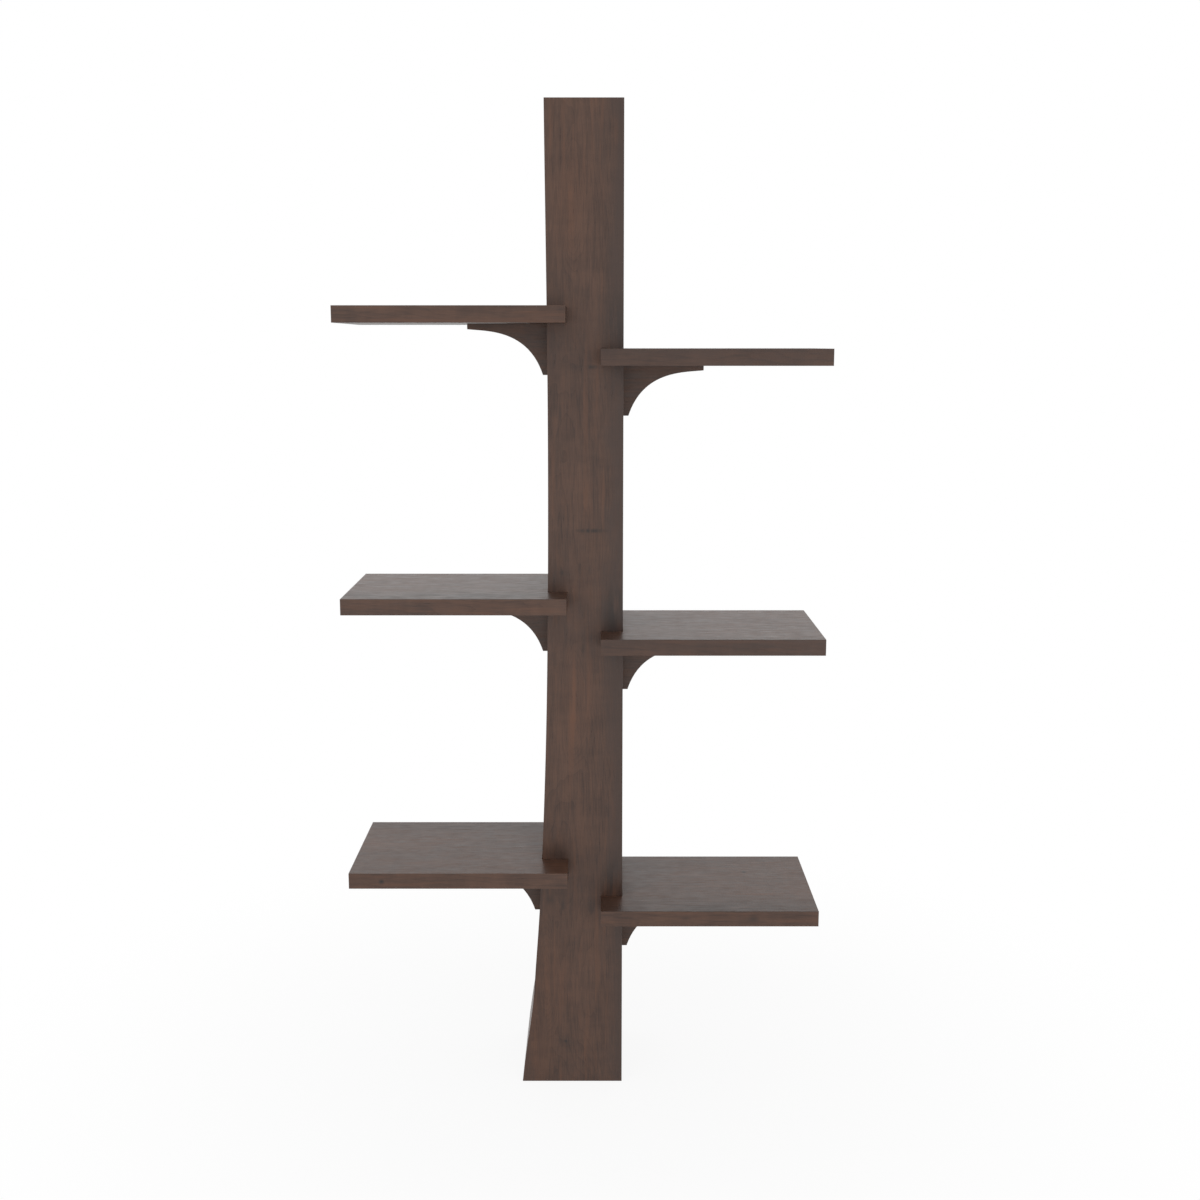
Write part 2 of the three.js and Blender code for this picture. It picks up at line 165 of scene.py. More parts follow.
def wood(name, stain, grain, heart, log_radius, ring_gap, roughness, eyes_and_painted_light=(), marks_and_painted_shade=()):
    """Wood with its grain along the X or Z axis, cut from a log whose heart goes through a point.
    Rings part round its eyes: middle and warmth of each, where an eye's warmth can also be
    painted light. Its marks are dark: middle, reach and depth of each, and some are painted shade."""
    material, shader, start = new_finish(name)
    place = start.node("ShaderNodeTexCoord", output="Object")
    turn = (0, -math.pi / 2, 0) if grain == "X" else (0, 0, 0)
    from_heart = start.vector("SUBTRACT", place, heart)
    log = start.node("ShaderNodeMapping", inputs={"Vector": from_heart, "Rotation": turn})
    x, y, length = log.parts()

    changes_per_metre = {
        "cloud": (15, 2.2),
        "blotch": (40, 12),
        "streak": (170, 15),
        "fibre": (700, 40),
        "ripple": (130, 16),
        "fleck": (280, 50),
        "curl": (24, 60),
        "pore": (1300, 48),
        "glow": (120, 6),
    }
    noise = {kind: figure(log, *changes) for kind, changes in changes_per_metre.items()}
    pore_edge = (0.6, 0.72)
    pores = rise(noise["pore"], *pore_edge)

    knots_per_metre = Vector((7, 7, 2.2))
    knot_radius = 0.009
    cells = start.vector("MULTIPLY", log, knots_per_metre)
    branch = start.node("ShaderNodeTexVoronoi", inputs={"Vector": cells, "Scale": 1}, output=2)
    knot = oval(cells, branch, knot_radius * knots_per_metre)

    log_taper = 0.03
    ring_sway = 0.04
    ring_waver = 0.008
    knot_swell = 0.02
    knot_swell_reach = (0.55, 0.55, 0.55)
    radius = (x * x + y * y) ** 0.5
    grown = radius + log_taper * length + ring_sway * noise["cloud"] + ring_waver * noise["blotch"]
    grown = grown + knot_swell * oval(cells, branch, knot_swell_reach)
    glow_share = 0.5
    glow_edge = (0.54, 0.74)
    warm = glow_share * rise(noise["glow"], *glow_edge)

    eye_swell = 0.035
    eye_reach = (0.024, 1, 0.13)
    eye_glow = 0.25
    eye_glow_reach = (0.050, 1, 0.13)
    eye_streak = 1.6
    eye_streak_reach = (0.009, 1, 0.095)
    # Eyes swell the rings and warm the wood round them; an eye's warmth can also be painted light.
    for middle, warmth in eyes_and_painted_light:
        grown = grown + eye_swell * oval(place, middle, eye_reach)
        warm = warm + eye_glow * warmth * oval(place, middle, eye_glow_reach)
        streaked = oval(place, middle, eye_streak_reach) * noise["fibre"] * noise["curl"]
        warm = warm + eye_streak * warmth * streaked
    late_wood_power = 5
    late_wood = start.maths("FRACT", grown / ring_gap) ** late_wood_power

    middle_tone = 0.59
    tone_shares = {
        "cloud": 1.0,
        "blotch": 1.0,
        "streak": 0.8,
        "fibre": 1.0,
        "curl": 0.7,
        "fleck": 0.5,
        "ripple": 0.4,
    }
    late_wood_darkness = 0.3
    pore_darkness = 0.2
    tone = blend(noise, tone_shares, middle_tone)
    tone = tone - late_wood_darkness * late_wood - pore_darkness * pores
    colour = tint(tone, stain["dark"], stain["light"])
    colour = tint(warm, colour, stain["warm"])

    outer_share = 0.8
    outer_from = 0.7
    outer_full = 0.95
    outer_waver = {"blotch": 0.05}
    outer_edge = blend(noise, outer_waver, radius)
    outer = rise(outer_edge, outer_from * log_radius, outer_full * log_radius)
    colour = tint(outer_share * outer, colour, stain["outer"])
    knot_share = 0.7
    colour = tint(knot_share * knot, colour, stain["knot"])
    mark_edge = (0.7, 1.1)
    # Each mark darkens the colour towards the knot colour: some are marks in the wood, some painted
    # shade.
    for middle, reach, depth in marks_and_painted_shade:
        uneven = rise(noise["blotch"] + noise["streak"], *mark_edge)
        colour = tint(depth * oval(place, middle, reach) * uneven, colour, stain["knot"])
    join(shader, "Base Color", colour)

    gloss_shares = {
        "blotch": 0.12,
        "streak": 0.2,
        "fibre": 0.2,
        "fleck": 0.3,
        "ripple": 0.15,
    }
    pore_roughness = 0.1
    gloss = blend(noise, gloss_shares)
    join(shader, "Roughness", roughness + gloss + pore_roughness * pores)

    fibre_height = 0.4
    pore_depth = 0.6
    late_wood_depth = 0.15
    height = fibre_height * noise["fibre"] - pore_depth * pores - late_wood_depth * late_wood
    bump = {"Height": height, "Strength": 0.25, "Distance": 0.0002}
    join(shader, "Normal", start.node("ShaderNodeBump", inputs=bump))
    return material


pine_heart_offset = Vector((0, 0.03, 0))
pine_log_radius = 0.12
pine_ring_gap = 0.005
pine_roughness = 0.7
for node in ("trunk_foot_block", "trunk_core_low", "trunk_core_middle", "trunk_core_high"):
    low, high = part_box(node)
    middle = (low + high) / 2
    heart = middle + pine_heart_offset
    block_wood = wood(
        f"{node}_pine", pine, "Z", heart, pine_log_radius, pine_ring_gap, pine_roughness
    )
    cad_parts[node].data.materials.clear()
    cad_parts[node].data.materials.append(block_wood)

# Trunk: front panel, sides and cap, stained dark walnut under satin lacquer. The side panels are
# glued into rebates of the front and back ones, and the left one is bent to the tree's curve.
walnut = {
    "dark": (0.042, 0.018, 0.010, 1),
    "light": (0.100, 0.048, 0.029, 1),
    "warm": (0.125, 0.052, 0.026, 1),
    "outer": (0.048, 0.026, 0.019, 1),
    "knot": (0.016, 0.010, 0.008, 1),
}
walnut_ring_gap = 0.0042
walnut_roughness = 0.39
wide_log_radius = 0.2
glue_gap = 0.0003
eased_edge = 0.0004
edge_runs = 3
sharp_angle = math.radians(40)
smooth_angle = math.radians(42)
flat_face_weight = 100
square_on = 0.9
trunk_low, trunk_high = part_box("trunk_front_panel")
trunk_front, panel_back = trunk_low.y, trunk_high.y
wall_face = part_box("trunk_back_panel")[1].y
trunk_right, trunk_top = trunk_high.x, trunk_high.z
panel_thickness = panel_back - trunk_front
side_front, side_back = (corner.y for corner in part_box("trunk_right_side"))
rebate_depth = panel_back - side_front

curve = {}
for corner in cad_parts["trunk_front_panel"].data.vertices:
    height = round(corner.co.z, 5)
    curve[height] = min(curve.get(height, 0), corner.co.x)
curve_heights = sorted(curve)
waist = max(curve.values())


def trunk_left(height):
    """Where the trunk's curved left face stands at a height."""
    above = next((i for i, h in enumerate(curve_heights) if h >= height), len(curve) - 1)
    upper = curve_heights[max(above, 1)]
    lower = curve_heights[max(above, 1) - 1]
    share = (height - lower) / (upper - lower)
    return curve[lower] + share * (curve[upper] - curve[lower])


def trunk_side(side, height):
    """Where the trunk's left or right face stands at a height."""
    return trunk_left(height) if side == "left" else trunk_right


def board(name, low, high):
    """A board as sawn, between two corners."""
    low, high = Vector(low), Vector(high)
    bpy.ops.object.select_all(action="DESELECT")
    bpy.ops.mesh.primitive_cube_add(size=1, location=(low + high) / 2)
    piece = bpy.context.object
    piece.name = piece.data.name = name
    piece.scale = high - low
    bpy.ops.object.transform_apply()
    return piece


def select_faces(piece, wanted):
    """Selects the faces that are wanted, and leaves the piece in edit mode."""
    bpy.ops.object.mode_set(mode="EDIT")
    bpy.ops.mesh.select_mode(type="FACE")
    bpy.ops.mesh.select_all(action="DESELECT")
    bpy.ops.object.mode_set(mode="OBJECT")
    for face in piece.data.polygons:
        face.select = wanted(face)
    bpy.ops.object.mode_set(mode="EDIT")


def saw_line(place, normal):
    """Adds edges where a plane crosses the piece in edit mode."""
    bpy.ops.mesh.select_all(action="SELECT")
    bpy.ops.mesh.bisect(plane_co=place, plane_no=normal)


def draw_to_curve(piece):
    """Draws a board's left side out from the waist to the trunk's curve."""
    bpy.ops.object.mode_set(mode="EDIT")
    for height in curve_heights[1:-1]:
        saw_line((0, 0, height), (0, 0, 1))
    bpy.ops.object.mode_set(mode="OBJECT")
    for corner in piece.data.vertices:
        if corner.co.x < 0:
            corner.co.x += trunk_left(corner.co.z) - waist


def apply_modifier(piece, kind, **settings):
    modifier = piece.modifiers.new(kind, kind)
    for name, value in settings.items():
        setattr(modifier, name, value)
    bpy.context.view_layer.objects.active = piece
    bpy.ops.object.modifier_apply(modifier=modifier.name)


def ease_edges(piece, width):
    """Sands the sharp edges round."""
    apply_modifier(
        piece, "BEVEL", width=width, segments=edge_runs, limit_method="ANGLE",
        angle_limit=sharp_angle, use_clamp_overlap=False,
    )


def cut(piece, cutter):
    """Cuts a piece by another one, which is used up."""
    apply_modifier(piece, "BOOLEAN", operation="DIFFERENCE", object=cutter, solver="EXACT")
    bpy.data.objects.remove(cutter)


def fit(piece, material, node):
    """The finished piece takes the place of its CAD node, with its flat faces shaded flat."""
    bpy.ops.object.select_all(action="DESELECT")
    bpy.context.view_layer.objects.active = piece
    piece.select_set(True)
    bpy.ops.object.shade_smooth_by_angle(angle=smooth_angle)
    apply_modifier(piece, "WEIGHTED_NORMAL", weight=flat_face_weight, keep_sharp=True)
    piece.data.materials.clear()
    piece.data.materials.append(material)
    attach(piece, "root")
    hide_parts(node)


def rebated_panel(name, outer_face, inner_face):
    """A front or back panel, with a rebate down each side of its inner face."""
    inwards = 1 if inner_face > outer_face else -1
    ledge = inner_face - inwards * rebate_depth
    near, far = sorted((outer_face, ledge))
    piece = board(name, (waist, near, 0), (trunk_right, far, trunk_top))
    bpy.ops.object.mode_set(mode="EDIT")
    inset = panel_thickness + glue_gap
    saw_line((waist + inset, 0, 0), (1, 0, 0))
    saw_line((trunk_right - inset, 0, 0), (1, 0, 0))
    select_faces(
        piece,
        lambda face: face.normal.y * inwards > square_on
        and waist + inset < face.center.x < trunk_right - inset,
    )
    raised = {"value": (0, inner_face - ledge, 0)}
    bpy.ops.mesh.extrude_region_move(TRANSFORM_OT_translate=raised)
    bpy.ops.object.mode_set(mode="OBJECT")
    draw_to_curve(piece)
    return piece


def walnut_board(node, grain, heart, log_radius, eyes_and_painted_light=(), marks_and_painted_shade=()):
    """Walnut for one board, with rings from the place in the log that the board was cut at."""
    return wood(
        f"{node}_walnut", walnut, grain, heart, log_radius, walnut_ring_gap, walnut_roughness,
        eyes_and_painted_light, marks_and_painted_shade,
    )


front_panel = rebated_panel("trunk_front_panel_lacquered", trunk_front, panel_back)
ease_edges(front_panel, eased_edge)
front_heart_depth = 0.062
front_heart = (-0.03, trunk_front + front_heart_depth, 30)
front_log_radius = 0.115
front_eyes_and_painted_light = (
    ((-0.018, 0, 1.405), 1.0),
    ((-0.017, 0, 0.64), 0.9),
    ((-0.062, 0, 0.18), 0.6),
    # This eye's warm glow is painted light as well as grain: it lightens the trunk's foot.
    ((-0.082, 0, 0.05), 0.8),
)
# Dark marks in the front's wood, knots, dashes and streaks, and painted shade above the shelf laps.
front_marks_and_shade = (
    ((0.029, 0, 1.505), (0.026, 1, 0.060), 0.22),
    ((0.005, 0, 1.167), (0.030, 1, 0.005), 0.8),
    ((0.010, 0, 0.917), (0.036, 1, 0.005), 1.0),
    ((0.040, 0, 1.132), (0.008, 1, 0.032), 0.4),
    ((-0.036, 0, 1.095), (0.004, 1, 0.024), 0.4),
    # The next three are painted shade on the front's right edge, just above the right-hand shelf
    # laps.
    ((0.046, 0, 1.225), (0.034, 1, 0.075), 0.6),
    ((0.046, 0, 0.785), (0.034, 1, 0.090), 0.8),
    ((0.046, 0, 0.342), (0.034, 1, 0.080), 0.8),
    ((-0.033, 0, 0.851), (0.010, 1, 0.007), 0.8),
    # The next two are painted shade on the front's left edge, just above the left-hand shelf laps.
    ((-0.044, 0, 0.832), (0.030, 1, 0.040), 0.3),
    ((-0.040, 0, 0.392), (0.034, 1, 0.026), 0.5),
    ((-0.056, 0, 0.316), (0.014, 1, 0.016), 0.5),
    ((-0.035, 0, 0.307), (0.005, 1, 0.016), 0.5),
    ((-0.030, 0, 0.071), (0.007, 1, 0.004), 1.0),
    ((-0.030, 0, 0.071), (0.024, 1, 0.018), 0.3),
)
front_wood = walnut_board(
    "trunk_front_panel", "Z", front_heart, front_log_radius, front_eyes_and_painted_light, front_marks_and_shade
)
fit(front_panel, front_wood, "trunk_front_panel")

left_side = board(
    "trunk_left_side_lacquered",
    (waist, side_front, 0),
    (waist + panel_thickness, side_back, trunk_top),
)
draw_to_curve(left_side)
ease_edges(left_side, eased_edge)
left_heart = (0.02, 0.01, 3)
left_wood = walnut_board("trunk_left_side", "Z", left_heart, wide_log_radius)
fit(left_side, left_wood, "trunk_left_side")

right_side = board("trunk_right_side_lacquered", *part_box("trunk_right_side"))
ease_edges(right_side, eased_edge)
right_heart = (-0.01, 0.06, 6)
right_wood = walnut_board("trunk_right_side", "Z", right_heart, wide_log_radius)
fit(right_side, right_wood, "trunk_right_side")

cap_low, cap_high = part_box("trunk_top_cap")
top_cap = board("trunk_top_cap_lacquered", cap_low, cap_high)
ease_edges(top_cap, eased_edge)
cap_heart_depth = 0.06
cap_heart = (9, 0.03, trunk_top - cap_heart_depth)
cap_wood = walnut_board("trunk_top_cap", "X", cap_heart, wide_log_radius)
fit(top_cap, cap_wood, "trunk_top_cap")

# Back panel: as the front one, with a recess near its top for the keyhole plate and a deeper
# pocket behind the plate for the head of the screw in the wall.
plate_low, plate_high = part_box("wall_plate")
plate_middle = (plate_low + plate_high) / 2
keyhole_entry_radius = 0.005
keyhole_rise = 0.013
keyhole_rim = 0.002
keyhole_floor = 0.004
entry_height = plate_middle.z - keyhole_rise / 2
past = 0.005

back_panel = rebated_panel("trunk_back_panel_lacquered", wall_face, wall_face - panel_thickness)
ease_edges(back_panel, eased_edge)
plate_recess = board(
    "plate_recess",
    (plate_low.x - glue_gap, plate_low.y, plate_low.z - glue_gap),
    (plate_high.x + glue_gap, wall_face + past, plate_high.z + glue_gap),
)
cut(back_panel, plate_recess)
pocket_reach = keyhole_entry_radius + keyhole_rim
pocket_front = wall_face - panel_thickness + keyhole_floor
screw_pocket = board(
    "screw_pocket",
    (plate_middle.x - pocket_reach, pocket_front, entry_height - pocket_reach),
    (plate_middle.x + pocket_reach, wall_face + past, entry_height + keyhole_rise + keyhole_rim),
)
cut(back_panel, screw_pocket)
back_heart_depth = 0.07
back_heart = (0.02, wall_face - back_heart_depth, 12)
back_log_radius = 0.12
back_wood = walnut_board("trunk_back_panel", "Z", back_heart, back_log_radius)
fit(back_panel, back_wood, "trunk_back_panel")

# Wall plate: a keyhole hanger stamped from zinc-plated steel strip and let in flush with the
# trunk's back, so that the shelf can't tip away from the wall.
keyhole_slot_radius = 0.0024
plate_corner = 0.0015
plate_corner_runs = 6
plate_edge = 0.0002
round_sides = 48
weld_gap = 0.000001


def steel(name, colour, roughness):
    """Plated or cast metal: grey that varies a little, with fine scratches."""
    material, shader, start = new_finish(name)
    place = start.node("ShaderNodeTexCoord", output="Object")
    scratch_changes = (1500, 90)
    shade_changes = (130, 130)
    shade_detail = 4
    shade_edge = (0.35, 0.65)
    darkest = 0.72
    noise = {
        "scratch": figure(place, *scratch_changes),
        "shade": figure(place, *shade_changes, shade_detail),
    }
    darker = tuple(darkest * value for value in colour[:3]) + (1,)
    join(shader, "Base Color", tint(rise(noise["shade"], *shade_edge), darker, colour))
    gloss_shares = {"scratch": 0.3, "shade": 0.2}
    join(shader, "Roughness", blend(noise, gloss_shares, roughness))
    bump = {"Height": noise["scratch"], "Strength": 0.15, "Distance": 0.00005}
    join(shader, "Normal", start.node("ShaderNodeBump", inputs=bump))
    shader.inputs["Metallic"].default_value = 1
    return material


zinc_colour = (0.60, 0.61, 0.61, 1)
zinc_roughness = 0.34
zinc_steel = steel("zinc_plated_steel", zinc_colour, zinc_roughness)


def cylinder(radius, length, middle, turn=(0, 0, 0), sides=round_sides):
    """A round piece or cutter, along the Z axis before it is turned."""
    bpy.ops.object.select_all(action="DESELECT")
    bpy.ops.mesh.primitive_cylinder_add(
        vertices=sides, radius=radius, depth=length, location=middle, rotation=turn
    )
    return bpy.context.object


def pin(radius, low, high, middle):
    """A round cutter along the Y axis, round the X and Z of its middle."""
    place = (middle.x, (low + high) / 2, middle.z)
    return cylinder(radius, high - low, place, (math.pi / 2, 0, 0))


def turned(name, profile):
    """A piece turned round the Z axis, from pairs of radius and height that start and end on it."""
    bpy.ops.object.select_all(action="DESELECT")
    blank_size = 0.001
    bpy.ops.mesh.primitive_plane_add(size=blank_size)
    piece = bpy.context.object
    piece.name = piece.data.name = name
    bpy.ops.object.mode_set(mode="EDIT")
    bpy.ops.mesh.select_mode(type="VERT")
    bpy.ops.mesh.select_all(action="SELECT")
    bpy.ops.mesh.merge(type="CENTER")
    bpy.ops.transform.translate(value=(profile[0][0], 0, profile[0][1]))
    for (radius, height), (next_radius, next_height) in zip(profile, profile[1:]):
        step = {"value": (next_radius - radius, 0, next_height - height)}
        bpy.ops.mesh.extrude_vertices_move(TRANSFORM_OT_translate=step)
    bpy.ops.mesh.select_all(action="SELECT")
    bpy.ops.mesh.spin(steps=round_sides, angle=2 * math.pi, center=(0, 0, 0), axis=(0, 0, 1))
    bpy.ops.mesh.select_all(action="SELECT")
    bpy.ops.mesh.remove_doubles(threshold=weld_gap)
    bpy.ops.mesh.normals_make_consistent(inside=False)
    bpy.ops.object.mode_set(mode="OBJECT")
    return piece


def set_copy(master, name, place, turn):
    """A copy of a small piece with a mesh of its own, turned and set in its place."""
    bpy.ops.object.select_all(action="DESELECT")
    bpy.context.view_layer.objects.active = master
    master.select_set(True)
    bpy.ops.object.duplicate()
    copy = bpy.context.object
    copy.name = copy.data.name = name
    copy.location = place
    copy.rotation_euler = turn
    bpy.ops.object.transform_apply()
    return copy


def countersunk_hole(name, head_radius, head_height, shank_radius, length):
    """The hole that a countersunk screw needs, below its head at the origin."""
    shank = shank_radius + glue_gap
    head = head_radius + glue_gap
    end = -length - glue_gap
    profile = [
        (0, end), (shank, end), (shank, -head_height), (head, -glue_gap), (head, past), (0, past)
    ]
    return turned(name, profile)


plate_screw_head = (0.0032, 0.0018)
plate_screw_shank = 0.0015
plate_screws = ("wall_plate_screw_upper", "wall_plate_screw_lower")
screw_low, screw_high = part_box(plate_screws[0])
plate_screw_length = screw_high.y - screw_low.y
facing_wall = (-math.pi / 2, 0, 0)

plate = board("wall_plate_stamped", plate_low, plate_high)
bpy.ops.object.mode_set(mode="EDIT")
bpy.ops.mesh.select_mode(type="EDGE")
bpy.ops.mesh.select_all(action="DESELECT")
bpy.ops.object.mode_set(mode="OBJECT")
for edge in plate.data.edges:
    start, end = (plate.data.vertices[i].co for i in edge.vertices)
    edge.select = abs(start.y - end.y) > plate_edge
bpy.ops.object.mode_set(mode="EDIT")
bpy.ops.mesh.bevel(offset=plate_corner, segments=plate_corner_runs)
bpy.ops.object.mode_set(mode="OBJECT")
entry = Vector((plate_middle.x, 0, entry_height))
slot_end = entry + Vector((0, 0, keyhole_rise - keyhole_slot_radius))
cut(plate, pin(keyhole_entry_radius, plate_low.y - past, wall_face + past, entry))
cut(plate, pin(keyhole_slot_radius, plate_low.y - past, wall_face + past, slot_end))
slot = board(
    "keyhole_slot",
    (entry.x - keyhole_slot_radius, plate_low.y - past, entry.z),
    (entry.x + keyhole_slot_radius, wall_face + past, slot_end.z),
)
cut(plate, slot)
hole = countersunk_hole("plate_hole", *plate_screw_head, plate_screw_shank, plate_screw_length)
for node in plate_screws:
    low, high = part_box(node)
    middle = (low + high) / 2
    head = (middle.x, wall_face, middle.z)
    cut(plate, set_copy(hole, "plate_hole_copy", head, facing_wall))
bpy.data.objects.remove(hole)
ease_edges(plate, plate_edge)
fit(plate, zinc_steel, "wall_plate")

# Wall plate screws: countersunk wood screws with a cross recess, their heads flush with the
# plate and their threads in the trunk's back panel.
thread_pitch = 0.0009
thread_depth = 0.22
screw_rim = 0.0002
screw_tip = 0.003


def wood_screw(name, head_radius, head_height, shank_radius, length, cross):
    """A countersunk screw with its head at the origin and its tip down the Z axis."""
    height = -length + screw_tip
    profile = [(0, -length), (shank_radius, height)]
    while height + thread_pitch < -head_height - screw_rim:
        profile.append(((1 - thread_depth) * shank_radius, height + thread_pitch / 2))
        height += thread_pitch
        profile.append((shank_radius, height))
    profile += [(shank_radius, -head_height), (head_radius, -screw_rim)]
    profile += [(head_radius - screw_rim, 0), (0, 0)]
    screw = turned(name, profile)
    cut_cross(screw, *cross)
    return screw


def cut_cross(piece, length, width, depth):
    """Cuts a tapering cross for a driver into the top of a piece, round the Z axis."""
    taper = 0.5
    above = depth / 4
    for half_x, half_y in ((length / 2, width / 2), (width / 2, length / 2)):
        blade = board("driver_blade", (-half_x, -half_y, -depth), (half_x, half_y, above))
        select_faces(blade, lambda face: face.normal.z < -square_on)
        bpy.ops.transform.resize(value=(taper, taper, 1), center_override=(0, 0, -depth))
        bpy.ops.object.mode_set(mode="OBJECT")
        cut(piece, blade)


screw_cross = (0.0042, 0.001, 0.0014)
plate_screw = wood_screw(
    "plate_screw", *plate_screw_head, plate_screw_shank, plate_screw_length, screw_cross
)
for node in plate_screws:
    low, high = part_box(node)
    middle = (low + high) / 2
    head = (middle.x, wall_face, middle.z)
    screw = set_copy(plate_screw, f"{node}_threaded", head, facing_wall)
    fit(screw, zinc_steel, node)
bpy.data.objects.remove(plate_screw)

# Cam bolts: turned steel, screwed into the core blocks through the trunk's sides. Their heads
# stand in the shelves, where the cam locks pull them tight.
for node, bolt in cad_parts.items():
    if node.startswith("cam_bolt"):
        bolt.data.materials.clear()
        bolt.data.materials.append(zinc_steel)

# Shelf boards: 25 mm thick, laid in front of the trunk and notched round its corner, so that
# each one laps over the trunk's front. The grain runs along the wall.
outwards = {"left": -1, "right": 1}
shelf_heart_depth = 0.075
shelf_heart_inset = 0.02
# Marks on the shelves: small dark flecks in the wood, and painted shade in long bands across the
# tops.
left_low_marks_and_shade = [
    ((-0.3175, -0.1245, 0.3713), (0.007, 0.020, 0.006), 1.0),
    # Painted shade: a darker band along the back of the top.
    ((-0.200, 0.105, 0.385), (0.400, 0.040, 0.002), 0.6),
]
# Painted shade: a darker band along the front of the top.
left_middle_painted_shade = [((-0.200, -0.095, 0.821), (0.400, 0.060, 0.002), 0.8)]
right_low_marks_and_shade = [
    ((0.268, 0.049, 0.3225), (0.007, 0.009, 0.020), 1.0),
    ((0.266, -0.1245, 0.310), (0.013, 0.020, 0.009), 0.5),
    ((0.160, -0.1245, 0.311), (0.012, 0.020, 0.008), 0.35),
    # Painted shade on the lap's top, in front of the trunk.
    ((0.010, -0.090, 0.3225), (0.050, 0.035, 0.010), 0.35),
    # Painted shade: a darker band along the front of the top.
    ((0.200, -0.110, 0.3225), (0.400, 0.065, 0.002), 0.65),
]
cut_from = {
    ("left", "low"): (48.705, 0.26, left_low_marks_and_shade),
    ("left", "middle"): (34.405, 0.26, left_middle_painted_shade),
    ("left", "high"): (12.305, 0.26, []),
    ("right", "low"): (11.4, 0.26, right_low_marks_and_shade),
    ("right", "middle"): (46.5, 0.21, []),
    ("right", "high"): (28.3, 0.21, []),
}


def beside_trunk(side, height):
    """Where a shelf's notch or a bracket's back stands at a height, a glue gap off the trunk."""
    return trunk_side(side, height) + outwards[side] * glue_gap


for (side, level), (log_place, log_radius, marks_and_painted_shade) in cut_from.items():
    node = f"shelf_{side}_{level}"
    low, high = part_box(node)
    outward = outwards[side]
    outer_end, lap_end = (low.x, high.x) if side == "left" else (high.x, low.x)
    ends = sorted((outer_end, beside_trunk(side, high.z)))
    shelf = board(f"{node}_lacquered", (ends[0], low.y, low.z), (ends[1], high.y, high.z))
    for corner in shelf.data.vertices:
        if abs(corner.co.x) < abs(outer_end) - glue_gap:
            corner.co.x = beside_trunk(side, corner.co.z)
    notch_front = trunk_front - glue_gap
    bpy.ops.object.mode_set(mode="EDIT")
    saw_line((0, notch_front, 0), (0, 1, 0))
    select_faces(
        shelf,
        lambda face: -outward * face.normal.x > square_on and face.center.y < notch_front,
    )
    bpy.ops.mesh.extrude_region_move(TRANSFORM_OT_translate={"value": (-outward * past, 0, 0)})
    bpy.ops.object.mode_set(mode="OBJECT")
    for corner in shelf.data.vertices:
        if -outward * corner.co.x > -outward * beside_trunk(side, corner.co.z) + glue_gap:
            corner.co.x = lap_end
    ease_edges(shelf, eased_edge)

    for place in ("front", "back"):
        cam_low, cam_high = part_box(f"cam_lock_{side}_{level}_{place}")
        cam_middle = (cam_low + cam_high) / 2
        bore_radius = (cam_high.x - cam_low.x) / 2 + glue_gap
        bore_depth = cam_high.z - cam_low.z + glue_gap
        bore_middle = (cam_middle.x, cam_middle.y, low.z + (bore_depth - past) / 2)
        cut(shelf, cylinder(bore_radius, bore_depth + past, bore_middle))

    heart = (log_place, shelf_heart_inset, low.z - shelf_heart_depth)
    shelf_wood = walnut_board(node, "X", heart, log_radius, (), marks_and_painted_shade)
    fit(shelf, shelf_wood, node)

# Cam locks: zinc drums pressed into the shelves' undersides. Each grips a bolt's head through
# the mouth in its side, and is turned by a driver in the cross of its face.
cam_cross = (0.008, 0.0016, 0.0025)
cam_rim = 0.0009
cam_dish = 0.0003
cam_edge = 0.0002
bolt_head_radius = 0.0034
arrow_radius = 0.0011
arrow_reach = 0.0054
arrow_sides = 3
arrow_height = 4 * cam_dish
level_face = 0.99
cast_colour = (0.40, 0.41, 0.42, 1)
cast_roughness = 0.46
cast_zinc = steel("cast_zinc", cast_colour, cast_roughness)

low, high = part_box("cam_lock_left_low_front")
cam_radius = (high.x - low.x) / 2
cam_height = high.z - low.z
bolt_low, bolt_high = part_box("cam_bolt_left_low_front")
bolt_depth = (bolt_low.z + bolt_high.z) / 2 - low.z
cam = cylinder(cam_radius, cam_height, (0, 0, -cam_height / 2))
bpy.ops.object.transform_apply()
ease_edges(cam, cam_edge)
select_faces(cam, lambda face: face.normal.z > level_face)
bpy.ops.mesh.inset(thickness=cam_rim)
bpy.ops.mesh.inset(thickness=cam_dish)
bpy.ops.transform.translate(value=(0, 0, -cam_dish))
bpy.ops.object.mode_set(mode="OBJECT")
cut_cross(cam, *cam_cross)
arrow_middle = (arrow_reach, 0, -cam_dish)
arrow_turn = (0, 0, -math.pi / 2)
arrow = cylinder(arrow_radius, arrow_height, arrow_middle, arrow_turn, arrow_sides)
cut(cam, arrow)
mouth_radius = bolt_head_radius + glue_gap
mouth_middle = (cam_radius - glue_gap, 0, -bolt_depth)
cut(cam, cylinder(mouth_radius, 2 * cam_radius, mouth_middle, (0, math.pi / 2, 0)))
for side, turn in (("left", (math.pi, 0, 0)), ("right", (math.pi, 0, math.pi))):
    for level in ("low", "middle", "high"):
        for place in ("front", "back"):
            node = f"cam_lock_{side}_{level}_{place}"
            low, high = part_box(node)
            middle = (low + high) / 2
            lock = set_copy(cam, f"{node}_cast", (middle.x, middle.y, low.z), turn)
            fit(lock, cast_zinc, node)
bpy.data.objects.remove(cam)

